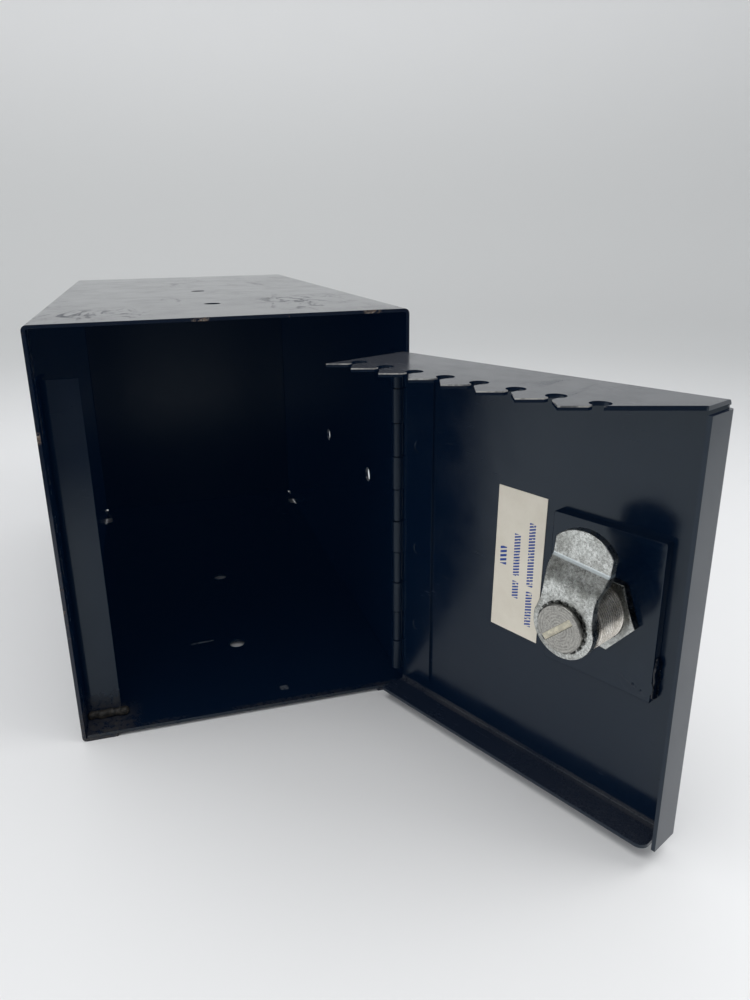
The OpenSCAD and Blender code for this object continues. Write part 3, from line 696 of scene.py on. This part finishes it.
def paint_pool(name, along, z, half_width, half_height, proud_mm):
    """A shallow irregular pool of weld spatter and paint on the lock plate's face."""
    plate_face = 1.2 * MM
    bm = bmesh.new()
    rings, sides = 26, 110
    rows = []
    for i in range(rings + 1):
        t = i / rings
        row = []
        for k in range(sides):
            a = 2 * math.pi * k / sides
            edge = 1 + 0.20 * noise.noise((math.cos(a) * 1.3, math.sin(a) * 1.3, 4.2))
            across = along + half_width * edge * t * math.cos(a)
            high = z + half_height * edge * t * math.sin(a)
            ripple = 1 + 0.35 * noise.noise((across / (2.4 * MM), high / (2.4 * MM), 1.0))
            wave = 0.5 * MM * noise.noise((across / (1.1 * MM), 7.0, 0.0))
            off_ridge = abs(high - z + 0.42 * (across - along) + 1.4 * MM + wave)
            ridge = 0.36 * MM * math.exp(-(off_ridge / (0.40 * MM)) ** 2)
            ridge *= max(0.0, 0.45 + noise.noise((across / (0.8 * MM), 3.0, 0.0)))
            lift = proud_mm * MM * (1 - t ** 3) * ripple + ridge * (1 - t ** 4) - 0.02 * MM
            row.append(bm.verts.new(at_door(across, plate_face + lift, high)))
        rows.append(row)
    for inner, outer in zip(rows[1:], rows[2:]):
        for k in range(sides):
            bm.faces.new((inner[k], inner[(k + 1) % sides], outer[(k + 1) % sides], outer[k]))
    bm.faces.new(rows[1])
    bm.verts.ensure_lookup_table()
    bmesh.ops.delete(bm, geom=[v for v in bm.verts if not v.link_faces], context="VERTS")
    bmesh.ops.recalc_face_normals(bm, faces=bm.faces)
    mesh = bpy.data.meshes.new(name)
    bm.to_mesh(mesh)
    bm.free()
    mesh.polygons.foreach_set("use_smooth", [True] * len(mesh.polygons))
    pool = new_object(name, mesh)
    return finish_piece(pool, "door", plate_enamel)


paint_pool(
    "lock_plate_pool", along=LOCK_ALONG + 12.9 * MM, z=PLATE_LOW.z + 5.6 * MM,
    half_width=5.2 * MM, half_height=5.4 * MM, proud_mm=0.30,
)

# ---------------------------------------------------------------- stage, lights, camera

def dish(radius, rise, rings=48, sides=96):
    """A floor that is flat under the object and curves up far away on every side."""
    flat_share = 0.45
    centre_y = 0.04
    bm = bmesh.new()
    rows = []
    for i in range(rings + 1):
        t = i / rings
        r = radius * t
        lift = rise * max(0.0, (t - flat_share) / (1 - flat_share)) ** 3
        rows.append([
            bm.verts.new((r * math.cos(a), r * math.sin(a) + centre_y, CASE_LOW.z + lift))
            for a in (2 * math.pi * k / sides for k in range(sides))
        ])
    for inner, outer in zip(rows[1:], rows[2:]):
        for k in range(sides):
            bm.faces.new((inner[k], outer[k], outer[(k + 1) % sides], inner[(k + 1) % sides]))
    bm.faces.new(rows[1])
    mesh = bpy.data.meshes.new("floor")
    bm.to_mesh(mesh)
    bm.free()
    mesh.polygons.foreach_set("use_smooth", [True] * len(mesh.polygons))
    return new_object("floor", mesh)


floor = dish(2.6, 1.5)
# The table's colour, and the darker colour of its painted far shade.
floor.data.materials.append(ground("table", (0.81, 0.81, 0.81), backdrop=(0.62, 0.625, 0.62)))


def softbox(name, place, target, size, power):
    light = bpy.data.lights.new(name, "AREA")
    light.shape = "RECTANGLE"
    light.size, light.size_y = size
    light.energy = power
    lamp = bpy.data.objects.new(name, light)
    bpy.context.scene.collection.objects.link(lamp)
    lamp.location = place
    lamp.rotation_euler = (Vector(target) - Vector(place)).to_track_quat("-Z", "Y").to_euler()
    return lamp


softbox("overhead", (-0.3, -0.35, 1.5), (-0.2, -0.2, 0), size=(1.0, 1.0), power=7.5)
softbox("right_side", (0.42, -0.26, 0.6), (0.28, -0.2, 0.0), size=(0.3, 0.3), power=1.2)
left_low = softbox("left_low", (-1.5, -0.25, 0.40), (0, -0.15, 0.05), size=(1.4, 0.7), power=6)
left_low.visible_glossy = False
softbox("backdrop", (0.1, 0.9, 1.8), (0.2, 2.6, 1.2), size=(1.4, 0.5), power=7)


def dark_card(name, corners, cloth):
    """A card that only reflections see, so that the paint and zinc have something dark to mirror."""
    mesh = bpy.data.meshes.new(name)
    mesh.from_pydata(corners, [], [(0, 1, 2, 3)])
    mesh.materials.append(cloth)
    card = new_object(name, mesh)
    card.visible_camera = False
    card.visible_diffuse = False
    card.visible_shadow = False


card_cloth = ground("card_cloth", (0.14, 0.145, 0.15), 0.9)
grey_cloth = ground("grey_cloth", (0.36, 0.36, 0.36), 0.9)
table_z = CASE_LOW.z + 1 * MM
near_y, far_y = -0.35, -0.8
dark_card("photographer", [
    (-0.5, near_y, table_z), (0.5, near_y, table_z), (0.6, far_y, 1.3), (-0.6, far_y, 1.3),
], card_cloth)
dark_card("left_flag", [
    (-1.4, -0.9, 0.30), (-1.4, 0.8, 0.30), (-0.7, 0.8, 1.9), (-0.7, -0.9, 1.9),
], grey_cloth)

world = bpy.data.worlds.new("studio")
bpy.context.scene.world = world
world.use_nodes = True
world.node_tree.nodes["Background"].inputs["Color"].default_value = (0.95, 0.97, 1.0, 1)
world.node_tree.nodes["Background"].inputs["Strength"].default_value = 0.74

# The camera: where it stands, with its yaw to the right, pitch down and roll
CAMERA_PLACE = Vector((-0.02682, -0.34262, 0.17683))
YAW, PITCH, ROLL = (math.radians(a) for a in (15.18, 18.15, -0.99))
forward = Vector((math.sin(YAW) * math.cos(PITCH), math.cos(YAW) * math.cos(PITCH), -math.sin(PITCH)))
level = Vector((math.cos(YAW), -math.sin(YAW), 0))
upright = level.cross(forward)
right = math.cos(ROLL) * level + math.sin(ROLL) * upright
up = right.cross(forward)
view_data = bpy.data.cameras.new("camera")
view_data.sensor_width = 36
view_data.lens = 27.25
view_data.shift_x = 0.0206
view_data.shift_y = -0.0198
view_data.clip_start = 0.01
camera = bpy.data.objects.new("camera", view_data)
bpy.context.scene.collection.objects.link(camera)
axes = Matrix((right, up, -forward)).transposed().to_4x4()
camera.matrix_world = Matrix.Translation(CAMERA_PLACE) @ axes
bpy.context.scene.camera = camera
bpy.context.scene.view_settings.view_transform = "Standard"
